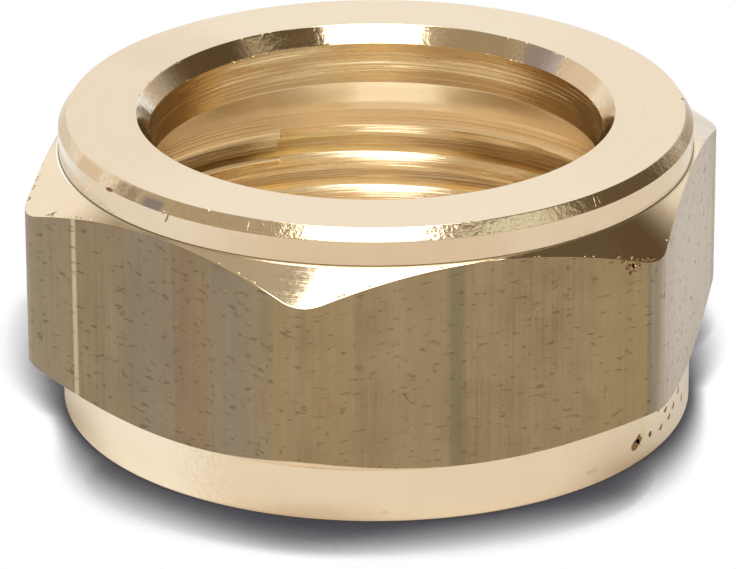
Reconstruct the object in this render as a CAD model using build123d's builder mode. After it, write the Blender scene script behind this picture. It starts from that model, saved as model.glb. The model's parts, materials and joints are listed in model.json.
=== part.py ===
from build123d import *
import math
import os

# Compression nut for 22 mm tube, turned from drawn brass hexagon bar, in millimetres.
# The origin is the centre of the flat end that the thread opens through. +Z runs along the
# nut's axis towards the end that the tube comes out of. Two flats face -Y and +Y, and two
# corners lie on -X and +X.

# Hexagon bar
across_flats = 32.0
bar_corner_radius = 2.0
nut_height = 15.35

# Outside, turned on the bar
boss_diameter = 31.7
boss_height = 2.8
boss_edge_radius = 0.25
collar_diameter = 31.7
collar_height = 1.85
collar_edge_width = 0.42
collar_edge_height = 0.6
hex_chamfer_angle = 30.0

# Way for the tube
tube_diameter = 22.0
tube_clearance = 0.3
tube_bore_length = 3.0
countersink_width = 0.67
countersink_depth = 0.85

# Cone that squeezes the olive, and the bore that the thread is cut in
seat_angle = 45.0
thread_minor_diameter = 27.4
thread_major_diameter = 29.5
mouth_margin = 0.1
mouth_angle = 45.0

# Radii of the turned forms
boss_radius = boss_diameter / 2
collar_radius = collar_diameter / 2
corner_radius = across_flats / 2 / math.cos(math.radians(30))
tube_bore_radius = tube_diameter / 2 + tube_clearance
countersink_radius = tube_bore_radius + countersink_width
thread_bore_radius = thread_minor_diameter / 2
mouth_radius = thread_major_diameter / 2 + mouth_margin

# Heights where one form meets the next, from the thread's mouth up
hex_slope = math.tan(math.radians(hex_chamfer_angle))
lower_chamfer_end = boss_height + (corner_radius - boss_radius) * hex_slope
collar_base = nut_height - collar_height
upper_chamfer_end = collar_base - (corner_radius - collar_radius) * hex_slope
mouth_top = (mouth_radius - thread_bore_radius) / math.tan(math.radians(mouth_angle))
seat_top = nut_height - tube_bore_length
seat_base = seat_top - (thread_bore_radius - tube_bore_radius) / math.tan(math.radians(seat_angle))

os.makedirs("parts", exist_ok=True)

with BuildPart() as compression_nut:
    # Length of bar, with the rounded corners that it was drawn with
    with BuildSketch(Plane.XY) as bar:
        RegularPolygon(radius=across_flats / 2, side_count=6, major_radius=False)
        fillet(bar.vertices(), radius=bar_corner_radius)
    extrude(amount=nut_height)

    # Boss and collar turned down to just under the flats, and the two cones that cut the
    # hexagon's corners back in scallops
    with BuildSketch(Plane.XZ) as turned_outside:
        with BuildLine():
            Polyline(
                (0, 0),
                (boss_radius, 0),
                (boss_radius, boss_height),
                (corner_radius, lower_chamfer_end),
                (corner_radius, upper_chamfer_end),
                (collar_radius, collar_base),
                (collar_radius, nut_height - collar_edge_height),
                (collar_radius - collar_edge_width, nut_height),
                (0, nut_height),
                close=True,
            )
        make_face()
        boss_rim = turned_outside.vertices().group_by(Axis.Y)[0].sort_by(Axis.X)[-1]
        fillet(boss_rim, radius=boss_edge_radius)
    revolve(axis=Axis.Z, mode=Mode.INTERSECT)

    # Stepped bore: mouth, thread's minor diameter, olive seat, tube bore, countersink
    with BuildSketch(Plane.XZ):
        with BuildLine():
            Polyline(
                (0, 0),
                (mouth_radius, 0),
                (thread_bore_radius, mouth_top),
                (thread_bore_radius, seat_base),
                (tube_bore_radius, seat_top),
                (tube_bore_radius, nut_height - countersink_depth),
                (countersink_radius, nut_height),
                (0, nut_height),
                close=True,
            )
        make_face()
    revolve(axis=Axis.Z, mode=Mode.SUBTRACT)

compression_nut.part.label = "compression_nut"
export_step(compression_nut.part, "parts/compression_nut.step")
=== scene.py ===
"""Visual model of a brass compression nut, made round its solid.

Sizes are in millimetres and turn to metres where a mesh is written. The nut's axis is Z, with the
thread's mouth at height 0 and the collar's face on top. A polar angle runs from +X towards +Y.
"""

import json
import logging
import math
from dataclasses import dataclass
from enum import IntEnum

import bmesh
import bpy
import numpy as np
from mathutils import Matrix, Vector

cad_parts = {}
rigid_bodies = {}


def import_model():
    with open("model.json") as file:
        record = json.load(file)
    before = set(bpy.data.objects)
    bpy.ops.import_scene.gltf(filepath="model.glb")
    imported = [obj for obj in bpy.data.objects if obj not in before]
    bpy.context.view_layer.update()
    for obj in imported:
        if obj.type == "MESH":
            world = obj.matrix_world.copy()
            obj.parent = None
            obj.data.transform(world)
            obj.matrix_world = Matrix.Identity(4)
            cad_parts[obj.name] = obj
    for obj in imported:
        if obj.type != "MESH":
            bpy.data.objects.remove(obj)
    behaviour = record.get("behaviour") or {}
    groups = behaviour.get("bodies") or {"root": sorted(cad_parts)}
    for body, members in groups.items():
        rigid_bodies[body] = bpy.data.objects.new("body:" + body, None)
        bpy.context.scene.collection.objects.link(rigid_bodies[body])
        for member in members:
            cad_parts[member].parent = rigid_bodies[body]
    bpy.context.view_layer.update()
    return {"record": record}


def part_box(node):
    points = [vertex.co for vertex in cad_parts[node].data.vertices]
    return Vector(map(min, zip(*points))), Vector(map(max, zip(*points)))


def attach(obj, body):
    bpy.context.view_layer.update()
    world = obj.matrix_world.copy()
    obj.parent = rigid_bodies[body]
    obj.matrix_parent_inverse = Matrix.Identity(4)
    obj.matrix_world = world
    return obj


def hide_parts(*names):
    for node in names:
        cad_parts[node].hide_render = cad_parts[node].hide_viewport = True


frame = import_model()

MM = 0.001
NODE = "compression_nut"
BODY = "root"
WELD_DISTANCE = 2e-7
# A length in millimetres that is too small to see
HAIR = 0.001
# Share of a turn that keeps a rounding error from moving a row to the turn before
ROUNDING_ERROR = 0.0001
# Length that a vector counts as at least, so that it can be divided by it
LEAST_LENGTH = 1e-9
# Polar angles in degrees that the six flats face
FLAT_FACINGS = tuple(30.0 + 60.0 * flat for flat in range(6))

Colour = tuple[float, float, float]
Span = tuple[float, float]

log = logging.getLogger("nut")


class Zone(IntEnum):
    """Surfaces of the nut that were cut by different tools, in the order of its material slots."""

    FACE = 0
    EDGE = 1
    COLLAR = 2
    CONE = 3
    FLAT = 4
    BOSS = 5
    SINK = 6
    BORE = 7
    SEAT = 8
    THREAD = 9
    PIT = 10
    # The dashes, and the collar's foot groove, whose dark colour is painted shade
    DASH = 11
    NICK = 12


class Value:
    """A number in a node tree, which adds and multiplies as plain numbers do."""

    def __init__(self, tree: bpy.types.NodeTree, socket: bpy.types.NodeSocket) -> None:
        """Keeps the tree and the socket that gives the number."""
        self.tree = tree
        self.socket = socket

    def math(self, operation: str, *others: "Value | float", clamp: bool = False) -> "Value":
        """Adds a Math node.

        Args:
            operation: the node's operation.
            others: the numbers after this one.
            clamp: whether the result is held between 0 and 1.

        Returns:
            The node's result.
        """
        node = self.tree.nodes.new("ShaderNodeMath")
        node.operation = operation
        node.use_clamp = clamp
        for socket, value in zip(node.inputs, (self, *others)):
            feed(self.tree, socket, value)
        return Value(self.tree, node.outputs[0])

    def __add__(self, other: "Value | float") -> "Value":
        """Gives the sum."""
        return self.math("ADD", other)

    def __sub__(self, other: "Value | float") -> "Value":
        """Gives the difference."""
        return self.math("SUBTRACT", other)

    def __rsub__(self, other: float) -> "Value":
        """Gives a plain number less this one."""
        return self.math("MULTIPLY_ADD", -1.0, other)

    def __mul__(self, other: "Value | float") -> "Value":
        """Gives the product."""
        return self.math("MULTIPLY", other)

    def __truediv__(self, other: "Value | float") -> "Value":
        """Gives the quotient."""
        return self.math("DIVIDE", other)

    __radd__ = __add__
    __rmul__ = __mul__

    def clamped(self) -> "Value":
        """Gives the number held between 0 and 1."""
        return self.math("ADD", 0.0, clamp=True)

    def ramp(self, start: "Value | float", end: "Value | float") -> "Value":
        """Gives a smooth rise from 0 at start to 1 at end, or a fall where end is less.

        Args:
            start: the number that gives 0.
            end: the number that gives 1.

        Returns:
            The smooth step.
        """
        node = self.tree.nodes.new("ShaderNodeMapRange")
        node.interpolation_type = "SMOOTHSTEP"
        feed(self.tree, node.inputs["Value"], self)
        feed(self.tree, node.inputs["From Min"], start)
        feed(self.tree, node.inputs["From Max"], end)
        return Value(self.tree, node.outputs["Result"])


def feed(tree: bpy.types.NodeTree, socket: bpy.types.NodeSocket, value: object) -> None:
    """Links a node's output to an input, or sets the input's own number.

    Args:
        tree: the tree that holds both.
        socket: the input.
        value: a Value, a socket, a number or a tuple.
    """
    if isinstance(value, Value):
        tree.links.new(value.socket, socket)
    elif isinstance(value, bpy.types.NodeSocket):
        tree.links.new(value, socket)
    else:
        socket.default_value = value


def combined(tree: bpy.types.NodeTree, x: object, y: object, z: object) -> bpy.types.NodeSocket:
    """Joins three numbers to a vector.

    Args:
        tree: the tree that gets the node.
        x: first number.
        y: second number.
        z: third number.

    Returns:
        The vector's socket.
    """
    node = tree.nodes.new("ShaderNodeCombineXYZ")
    for socket, value in zip(node.inputs, (x, y, z)):
        feed(tree, socket, value)
    return node.outputs[0]


def separated(tree: bpy.types.NodeTree, vector: bpy.types.NodeSocket) -> list[Value]:
    """Splits a vector.

    Args:
        tree: the tree that gets the node.
        vector: the vector's socket.

    Returns:
        Its three numbers.
    """
    node = tree.nodes.new("ShaderNodeSeparateXYZ")
    tree.links.new(vector, node.inputs[0])
    return [Value(tree, socket) for socket in node.outputs]


def noise(tree: bpy.types.NodeTree, vector: bpy.types.NodeSocket, scale: float, detail: float = 2.0,
          roughness: float = 0.5, distortion: float = 0.0) -> Value:
    """Adds a noise, which runs from about 0.2 to 0.8 round 0.5.

    Args:
        tree: the tree that gets the node.
        vector: the place that the noise is read at.
        scale: how fine it is.
        detail: how many finer layers it has.
        roughness: how strong those layers are.
        distortion: how much it swirls.

    Returns:
        The noise.
    """
    node = tree.nodes.new("ShaderNodeTexNoise")
    feed(tree, node.inputs["Vector"], vector)
    feed(tree, node.inputs["Scale"], scale)
    feed(tree, node.inputs["Detail"], detail)
    feed(tree, node.inputs["Roughness"], roughness)
    feed(tree, node.inputs["Distortion"], distortion)
    return Value(tree, node.outputs[0])


def blended(tree: bpy.types.NodeTree, share: Value, first: object, second: object) -> bpy.types.NodeSocket:
    """Mixes two colours.

    Args:
        tree: the tree that gets the node.
        share: how much of the second colour there is.
        first: a colour or a socket.
        second: a colour or a socket.

    Returns:
        The mixed colour's socket.
    """
    node = tree.nodes.new("ShaderNodeMix")
    node.data_type = "RGBA"
    feed(tree, node.inputs["Factor"], share)
    for name, colour in (("A", first), ("B", second)):
        socket = next(s for s in node.inputs if s.name == name and s.type == "RGBA")
        feed(tree, socket, (*colour, 1.0) if isinstance(colour, tuple) else colour)
    return next(s for s in node.outputs if s.type == "RGBA")


@dataclass(frozen=True)
class NutSizes:
    """The nut's sizes, from the solid's box and mounts, and those of its edges.

    The bar's own corners are rounded. Both cones are cut at chamfer_angle from the nut's faces.
    """

    across_flats: float
    height: float
    tube_bore_radius: float
    tube_bore_base: float
    tube_bore_top: float
    thread_bore_radius: float
    mouth_depth: float
    bar_corner_radius: float = 2.0
    boss_radius: float = 15.85
    boss_height: float = 2.8
    collar_radius: float = 15.85
    collar_height: float = 1.85
    collar_edge_width: float = 0.42
    collar_edge_height: float = 0.6
    chamfer_angle: float = 30.0
    sink_width: float = 0.67
    wall_gap: float = 0.08

    @classmethod
    def from_frame(cls) -> "NutSizes":
        """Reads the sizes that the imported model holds.

        Returns:
            The sizes.
        """
        low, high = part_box(NODE)
        mounts = {mount["name"]: mount for mount in frame["record"]["mounts"]}
        tube, thread = mounts["tube_bore"], mounts["fitting_thread"]
        tube_middle = tube["pos_m"][2] / MM
        thread_middle = thread["pos_m"][2] / MM
        return cls(
            across_flats=(high.y - low.y) / MM,
            height=(high.z - low.z) / MM,
            tube_bore_radius=tube["dims"]["r_mm"],
            tube_bore_base=tube_middle - tube["dims"]["length_mm"] / 2,
            tube_bore_top=tube_middle + tube["dims"]["length_mm"] / 2,
            thread_bore_radius=thread["dims"]["r_mm"],
            mouth_depth=thread_middle - thread["dims"]["length_mm"] / 2,
        )

    @property
    def chamfer_slope(self) -> float:
        """Rise of a cone for each millimetre outwards."""
        return math.tan(math.radians(self.chamfer_angle))

    @property
    def mouth_radius(self) -> float:
        """Radius of the thread's mouth at the boss's face."""
        return self.thread_bore_radius + self.mouth_depth

    @property
    def lip_height(self) -> float:
        """Height where the bevel of the collar's edge starts."""
        return self.height - self.collar_edge_height

    @property
    def rim_radius(self) -> float:
        """Radius where the bevel of the collar's edge meets the top face."""
        return self.collar_radius - self.collar_edge_width

    @property
    def sink_radius(self) -> float:
        """Radius of the countersink at the top face."""
        return self.tube_bore_radius + self.sink_width

    @property
    def wall_radius(self) -> float:
        """Radius of the wall between the seat and the thread."""
        return self.thread_bore_radius + self.wall_gap

    @property
    def seat_base(self) -> float:
        """Height where the 45 degree seat meets the wall."""
        return self.tube_bore_base - (self.wall_radius - self.tube_bore_radius)

    def hexagon_radius(self, angles: np.ndarray) -> np.ndarray:
        """Gives the bar's radius, with its rounded corners.

        Args:
            angles: polar angles, with a corner at 0.

        Returns:
            The radius at each angle.
        """
        flat = self.across_flats / 2
        sector = math.pi / 3
        turned = np.abs((angles + sector / 2) % sector - sector / 2)
        rounding = self.bar_corner_radius
        centre = (flat - rounding) / math.cos(sector / 2)
        edge = math.atan2(rounding / 2, centre + rounding * math.cos(sector / 2))
        reach = np.sqrt(np.maximum(rounding ** 2 - (centre * np.sin(turned)) ** 2, 0))
        return np.where(turned < edge, centre * np.cos(turned) + reach, flat / np.cos(sector / 2 - turned))

    def scallops(self, angles: np.ndarray) -> tuple[np.ndarray, np.ndarray]:
        """Gives the heights where the two cones meet the bar.

        Args:
            angles: polar angles.

        Returns:
            The lower and the upper height.
        """
        bar = self.hexagon_radius(angles)
        lower = self.boss_height + (bar - self.boss_radius) * self.chamfer_slope
        upper = self.height - self.collar_height - (bar - self.collar_radius) * self.chamfer_slope
        return lower, upper


@dataclass(frozen=True)
class Corner:
    """A corner of a turned section: its radius and height at each column, and how far it is rounded.

    zone is the surface from here to the next corner. rows is how many extra rows that surface has,
    and steps is how many stretches the rounding has.
    """

    r: object
    z: object
    zone: Zone
    rounding: float = 0.0
    rows: int = 0
    steps: int = 3


@dataclass
class Patch:
    """Points and faces of one stretch of the nut's surface."""

    points: np.ndarray
    faces: list[tuple[int, ...]]
    zones: list[int]


def unit(vectors: np.ndarray) -> np.ndarray:
    """Gives each row's vector a length of 1."""
    lengths = np.linalg.norm(vectors, axis=1, keepdims=True)
    return vectors / np.maximum(lengths, LEAST_LENGTH)


@dataclass(frozen=True)
class Lathe:
    """Turns a section, row by row, round the nut's axis.

    support is how far from a rounding the rows on both sides of it lie.
    """

    angles: np.ndarray
    support: float = 0.05

    def section(self, corners: list[Corner]) -> tuple[np.ndarray, list[int]]:
        """Rounds a section's corners and lays rows along it.

        Args:
            corners: the section's corners in order.

        Returns:
            The rows as (row, column, radius and height), and the zone after each row.
        """
        columns = len(self.angles)
        at = np.zeros((len(corners), columns, 2))
        for row, corner in enumerate(corners):
            at[row, :, 0] = corner.r
            at[row, :, 1] = corner.z
        rows, zones = [at[0]], [corners[0].zone]
        for i in range(1, len(corners) - 1):
            corner = corners[i]
            before, after = at[i] - at[i - 1], at[i + 1] - at[i]
            if not corner.rounding:
                rows.append(at[i])
                zones.append(corner.zone)
                continue
            before, after = unit(before), unit(after)
            cosine = np.clip((before * after).sum(1, keepdims=True), -1, 1)
            turn = np.arccos(cosine)
            side = unit(after - before * cosine)
            reach = corner.rounding * np.tan(turn / 2)
            start = at[i] - before * reach
            last = rows[-1]
            stop = start - before * self.support
            for k in range(1, corners[i - 1].rows + 1):
                share = k / (corners[i - 1].rows + 1)
                rows.append(last + (stop - last) * share)
                zones.append(corners[i - 1].zone)
            rows.append(stop)
            zones.append(corners[i - 1].zone)
            for k in range(corner.steps + 1):
                along = turn * k / corner.steps
                rows.append(start + corner.rounding * (np.sin(along) * before + (1 - np.cos(along)) * side))
                zones.append(corners[i - 1].zone if k < corner.steps / 2 else corner.zone)
            rows.append(at[i] + after * (reach + self.support))
            zones.append(corner.zone)
        last = rows[-1]
        for k in range(1, corners[-2].rows + 2):
            rows.append(last + (at[-1] - last) * k / (corners[-2].rows + 1))
            zones.append(corners[-2].zone)
        return np.array(rows), zones

    def turned(self, corners: list[Corner]) -> Patch:
        """Makes the surface of a section.

        Args:
            corners: the section's corners in order.

        Returns:
            The surface.
        """
        rows, zones = self.section(corners)
        return self.rings(rows, zones)

    def rings(self, rows: np.ndarray, zones: list[int]) -> Patch:
        """Joins rows of radius and height to a closed band.

        Args:
            rows: radius and height by row and column.
            zones: the zone after each row. The last row needs none.

        Returns:
            The band.
        """
        count = len(self.angles)
        points = np.zeros((len(rows), count, 3))
        points[:, :, 0] = rows[:, :, 0] * np.cos(self.angles)
        points[:, :, 1] = rows[:, :, 0] * np.sin(self.angles)
        points[:, :, 2] = rows[:, :, 1]
        faces, marks = [], []
        for row in range(len(rows) - 1):
            a, b = row * count, (row + 1) * count
            for i in range(count):
                j = (i + 1) % count
                faces.append((a + i, b + i, b + j, a + j))
                marks.append(int(zones[row]))
        return Patch(points.reshape(-1, 3), faces, marks)


def object_from(name: str, data: bpy.types.ID) -> bpy.types.Object:
    """Puts a mesh, a lamp or a camera in the scene.

    Args:
        name: the piece's name.
        data: what it shows.

    Returns:
        The piece.
    """
    made = bpy.data.objects.new(name, data)
    bpy.context.collection.objects.link(made)
    return made


def applied(piece: bpy.types.Object, modifier: bpy.types.Modifier) -> bpy.types.Mesh:
    """Works out what a modifier makes of a piece, and takes the modifier off.

    Args:
        piece: the piece.
        modifier: its only modifier.

    Returns:
        The plain mesh.
    """
    depsgraph = bpy.context.evaluated_depsgraph_get()
    made = bpy.data.meshes.new_from_object(piece.evaluated_get(depsgraph), depsgraph=depsgraph)
    piece.modifiers.remove(modifier)
    return made


def geometry_tree(name: str) -> bpy.types.NodeTree:
    """Starts a Geometry Nodes tree for a modifier.

    Args:
        name: the tree's name.

    Returns:
        The tree, with a mesh going in and one coming out.
    """
    tree = bpy.data.node_groups.new(name, "GeometryNodeTree")
    tree.is_modifier = True
    for way in ("INPUT", "OUTPUT"):
        tree.interface.new_socket("Geometry", in_out=way, socket_type="NodeSocketGeometry")
    return tree


def tree_input(tree: bpy.types.NodeTree, name: str, value: float) -> str:
    """Adds a named number to a Geometry Nodes tree.

    Args:
        tree: the tree.
        name: the input's name.
        value: its default.

    Returns:
        The input's identifier, by which a modifier sets it.
    """
    kind = "NodeSocketInt" if isinstance(value, int) else "NodeSocketFloat"
    socket = tree.interface.new_socket(name, in_out="INPUT", socket_type=kind)
    socket.default_value = value
    return socket.identifier


@dataclass
class GridTree:
    """A Geometry Nodes tree that bends a flat grid into a band of the nut's bore.

    Its sizes are named inputs, which the modifier sets by their identifiers.
    """

    name: str
    sizes: dict[str, float]
    zone_material: bpy.types.Material

    def open(self) -> dict[str, Value]:
        """Starts the tree with its inputs and the grid.

        Returns:
            The inputs by name, and the grid's column and row at each point.
        """
        self.tree = geometry_tree(self.name)
        self.identifiers = {name: tree_input(self.tree, name, value) for name, value in self.sizes.items()}
        group = self.tree.nodes.new("NodeGroupInput")
        values = {name: Value(self.tree, group.outputs[name]) for name in self.sizes}
        self.grid = self.tree.nodes.new("GeometryNodeMeshGrid")
        feed(self.tree, self.grid.inputs["Vertices X"], values["Columns"] + 1.0)
        feed(self.tree, self.grid.inputs["Vertices Y"], values["Rows"] + 1.0)
        place = self.tree.nodes.new("GeometryNodeInputPosition")
        x, y, _ = separated(self.tree, place.outputs[0])
        values["column"] = ((x + 0.5) * values["Columns"]).math("ROUND")
        values["row"] = ((y + 0.5) * values["Rows"]).math("ROUND")
        return values

    def close(self, angle: Value, radius: Value, height: Value) -> None:
        """Ends the tree: places the grid's points, welds them and sets the material.

        Args:
            angle: polar angle at each point.
            radius: distance from the axis.
            height: height on the axis.
        """
        tree = self.tree
        x = radius * angle.math("COSINE") * MM
        y = radius * angle.math("SINE") * MM
        place = tree.nodes.new("GeometryNodeSetPosition")
        weld = tree.nodes.new("GeometryNodeMergeByDistance")
        realize = tree.nodes.new("GeometryNodeRealizeInstances")
        dress = tree.nodes.new("GeometryNodeSetMaterial")
        end = tree.nodes.new("NodeGroupOutput")
        tree.links.new(self.grid.outputs["Mesh"], place.inputs["Geometry"])
        feed(tree, place.inputs["Position"], combined(tree, x, y, height * MM))
        tree.links.new(place.outputs[0], weld.inputs["Geometry"])
        feed(tree, weld.inputs["Distance"], WELD_DISTANCE)
        tree.links.new(weld.outputs[0], realize.inputs[0])
        tree.links.new(realize.outputs[0], dress.inputs["Geometry"])
        feed(tree, dress.inputs["Material"], self.zone_material)
        tree.links.new(dress.outputs[0], end.inputs[0])

    def mesh(self) -> bpy.types.Mesh:
        """Runs the tree on an empty piece.

        Returns:
            The plain mesh that it makes.
        """
        holder = object_from(self.name, bpy.data.meshes.new(self.name))
        modifier = holder.modifiers.new(self.name, "NODES")
        modifier.node_group = self.tree
        for name, identifier in self.identifiers.items():
            modifier[identifier] = self.sizes[name]
        made = applied(holder, modifier)
        bpy.data.objects.remove(holder)
        return made


@dataclass
class Thread:
    """Right-hand internal thread, from the wall under the seat down to the mouth.

    A turn is measured down from its groove's upper rim: the steep upper flank, the leaning root
    wall, the lower flank, its bevel and the crest above the next groove. Each stretch has its height
    and how far it leads back in. The tool enters at start_angle, where the groove steps to its full
    depth, and it fades out on the other side. A small ledge parts each bevel from its crest. rows
    gives the rows of the upper flank, the root, the lower flank, the bevel, the ledge and the crest.
    """

    sizes: NutSizes
    pitch: float = 1.88
    top: float = 9.6
    start_angle: float = 92.43
    start_height: float = 8.736
    crest_radius: float = 13.72
    depth: float = 0.775
    upper_flank_height: float = 0.52
    root_height: float = 0.5
    root_rise: float = 0.07
    flank_height: float = 0.194
    flank_rise: float = 0.415
    bevel_height: float = 0.32
    bevel_rise: float = 0.17
    ledge_height: float = 0.012
    wall_lean: float = 0.08
    fading_depth: float = 0.5
    fading_turns: float = 0.45
    root_rounding: float = 0.05
    crest_rounding: float = 0.03
    rows: tuple[int, ...] = (3, 4, 3, 4, 1, 3)
    turns: int = 7

    def band(self, columns: int, material: bpy.types.Material) -> bpy.types.Mesh:
        """Makes the thread's surface, closed round the axis and open at its two rims.

        Args:
            columns: how many columns the neighbouring bands have.
            material: the thread's material.

        Returns:
            The surface.
        """
        nut = self.sizes
        rows_in_turn = sum(self.rows)
        tree = GridTree("Thread", {
            "Columns": columns + 1,
            "Rows": rows_in_turn * self.turns,
            "Rows in a turn": rows_in_turn,
            "Pitch": self.pitch,
            "Top": self.top,
            "Start angle": math.radians(self.start_angle),
            "Start height": self.start_height,
            "Wall radius": nut.wall_radius,
            "Crest radius": self.crest_radius,
            "Mouth radius": nut.mouth_radius,
            "Depth": self.depth,
            "Upper flank height": self.upper_flank_height,
            "Root height": self.root_height,
            "Root rise": self.root_rise,
            "Flank height": self.flank_height,
            "Flank rise": self.flank_rise,
            "Bevel height": self.bevel_height,
            "Bevel rise": self.bevel_rise,
            "Ledge height": self.ledge_height,
            "Wall lean": self.wall_lean,
            "Fading depth": self.fading_depth,
            "Fading turns": self.fading_turns,
            "Root rounding": self.root_rounding,
            "Crest rounding": self.crest_rounding,
        }, material)
        size = tree.open()
        full_round = size["Columns"] - 1.0
        past = size["column"].math("GREATER_THAN", full_round + 0.5)
        turn = (size["column"] / full_round) * (1.0 - past)
        angle = size["Start angle"] + turn * math.tau
        line = (size["row"] / size["Rows in a turn"] + ROUNDING_ERROR).math("FLOOR")
        step = size["row"] - line * size["Rows in a turn"]
        line = line - 1.0 - past
        height, radius = self._profile(size, step, line, line - turn)
        radius = radius.math("SMOOTH_MAX", size["Mouth radius"] - height, size["Crest rounding"])
        over_top = height.math("GREATER_THAN", size["Top"] - HAIR)
        under_base = height.math("LESS_THAN", HAIR)
        radius = radius + (size["Wall radius"] - radius) * over_top
        radius = radius + (size["Mouth radius"] - radius) * under_base
        height = height.math("MINIMUM", size["Top"]).math("MAXIMUM", 0.0)
        tree.close(angle, radius, height)
        return tree.mesh()

    def _profile(self, size: dict[str, Value], step: Value, line: Value,
                 travelled: Value) -> tuple[Value, Value]:
        """Gives the thread's section.

        Args:
            size: the tree's inputs.
            step: which row of its turn a point is on.
            line: which turn it is on, 0 being the one before the tool is at its full depth.
            travelled: turns from where the tool enters, negative where the groove fades.

        Returns:
            A point's height and its radius.
        """
        ledge_start = (size["Upper flank height"] + size["Root height"] + size["Flank height"]
                       + size["Bevel height"])
        crest_height = size["Pitch"] - ledge_start - size["Ledge height"]
        heights = (size["Upper flank height"], size["Root height"], size["Flank height"],
                   size["Bevel height"], size["Ledge height"], crest_height)
        down = step * 0.0
        passed = 0
        for height, count in zip(heights, self.rows):
            down = down + ((step - float(passed)) / float(count)).clamped() * height
            passed += count
        knee = size["Depth"] - size["Root rise"]
        bevel_top = knee - size["Flank rise"]
        crest_top = bevel_top - size["Bevel rise"]
        upper = down * size["Depth"] / size["Upper flank height"]
        root = size["Depth"] - (down - size["Upper flank height"]) * size["Root rise"] / size["Root height"]
        below = down - size["Upper flank height"] - size["Root height"]
        flank = knee - below * size["Flank rise"] / size["Flank height"]
        bevel = bevel_top - (below - size["Flank height"]) * size["Bevel rise"] / size["Bevel height"]
        crest = crest_top - (down - ledge_start) * crest_top / (size["Pitch"] - ledge_start)
        groove = root.math("SMOOTH_MIN", flank, size["Root rounding"])
        full = groove.math("SMOOTH_MAX", bevel, size["Crest rounding"])
        full = full.math("SMOOTH_MAX", crest, size["Crest rounding"]).math("MINIMUM", upper)
        fading = size["Fading depth"] * (1.0 + travelled / size["Fading turns"]).clamped()
        faded = upper.math("MINIMUM", groove) - (size["Depth"] - fading)
        faded = faded.math("SMOOTH_MAX", 0.0, size["Crest rounding"]) * fading.math("GREATER_THAN", HAIR)
        rows_to_ledge = sum(self.rows[:4])
        on_crest = step.math("GREATER_THAN", rows_to_ledge + 0.5)
        cutting = line.math("GREATER_THAN", 0.5).math("MAXIMUM", on_crest * line.math("GREATER_THAN", -0.5))
        height = size["Start height"] - size["Pitch"] * travelled - down
        wall = size["Wall radius"] + (size["Top"] - height) * size["Wall lean"] + faded
        return height, (size["Crest radius"] + full) * cutting + wall * (1.0 - cutting)


@dataclass
class BoreMarks:
    """The tube bore's wall, with the ridges that the boring tool left at its feed, and finer rings.

    The rings waver by wander round the axis and sway the ridges. The ridges are worn away in
    patches and towards the base, and within plain_rim of each rim the wall is plain.
    """

    sizes: NutSizes
    base: float = 12.47
    top: float = 14.36
    rows: int = 54
    feed: float = 0.24
    feed_depth: float = 0.038
    ring_depth: float = 0.03
    ring_scale: float = 7.0
    wander: float = 0.07
    ring_sway: float = 0.5
    patches_round: float = 1.3
    patches_up: float = 1.6
    unworn: Span = (0.3, 0.6)
    ridges_start: Span = (0.05, 0.45)
    plain_rim: float = 0.04

    def band(self, columns: int, start: float, material: bpy.types.Material) -> bpy.types.Mesh:
        """Makes the wall, which ends at both rims on the bore's true radius.

        Args:
            columns: how many columns the neighbouring bands have.
            start: polar angle of the first column.
            material: the bore's material.

        Returns:
            The surface.
        """
        tree = GridTree("Bore marks", {
            "Columns": columns,
            "Rows": self.rows,
            "Start angle": start,
            "Base": self.base,
            "Top": self.top,
            "Bore radius": self.sizes.tube_bore_radius,
            "Feed": self.feed,
            "Feed depth": self.feed_depth,
            "Ring depth": self.ring_depth,
            "Ring scale": self.ring_scale,
            "Wander": self.wander,
        }, material)
        size = tree.open()
        around = size["column"] / size["Columns"]
        angle = size["Start angle"] + around * math.tau
        share = size["row"] / size["Rows"]
        height = size["Base"] + (size["Top"] - size["Base"]) * share
        x, y = angle.math("COSINE"), angle.math("SINE")
        place = combined(tree.tree, x * size["Wander"], y * size["Wander"], height * size["Ring scale"])
        rings = noise(tree.tree, place, 1.0, 2.0, 0.7) - 0.5
        phase = (height / size["Feed"] + around + rings * self.ring_sway).math("FRACT") * 2.0 - 1.0
        place = combined(tree.tree, x * self.patches_round, y * self.patches_round, height * self.patches_up)
        unworn = noise(tree.tree, place, 1.0, 2.0, 0.6).ramp(*self.unworn)
        ridges = (0.5 - phase * phase) * unworn * share.ramp(*self.ridges_start)
        inside = share.ramp(0.0, self.plain_rim) * share.ramp(1.0, 1.0 - self.plain_rim)
        radius = size["Bore radius"] + (rings * size["Ring depth"] + ridges * size["Feed depth"]) * inside
        tree.close(angle, radius, height)
        return tree.mesh()


@dataclass(frozen=True)
class Grain:
    """A small lump or cutter on the nut's surface.

    angle is its polar angle in degrees, out its distance from the axis and height its height. It
    faces the polar angle facing and rises by rise degrees. length runs round the nut, width across
    that and depth into the metal, and tilt turns it on the surface.
    """

    angle: float
    out: float
    height: float
    length: float
    width: float
    depth: float
    facing: float
    rise: float = 0.0
    tilt: float = 0.0

    def place(self) -> Vector:
        """Gives its middle, in metres."""
        turn = math.radians(self.angle)
        return Vector((self.out * math.cos(turn), self.out * math.sin(turn), self.height)) * MM

    def turn(self) -> Vector:
        """Gives how it is turned, as three angles."""
        facing, rise = math.radians(self.facing), math.radians(self.rise)
        along = Vector((-math.sin(facing), math.cos(facing), 0.0))
        level = math.cos(rise)
        normal = Vector((math.cos(facing) * level, math.sin(facing) * level, math.sin(rise)))
        across = normal.cross(along)
        lay = Matrix((along, across, normal)).transposed()
        return Vector((lay @ Matrix.Rotation(math.radians(self.tilt), 3, "Z")).to_euler())

    def size(self) -> Vector:
        """Gives its half sizes, in metres."""
        return Vector((self.length / 2, self.width / 2, self.depth)) * MM


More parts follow.
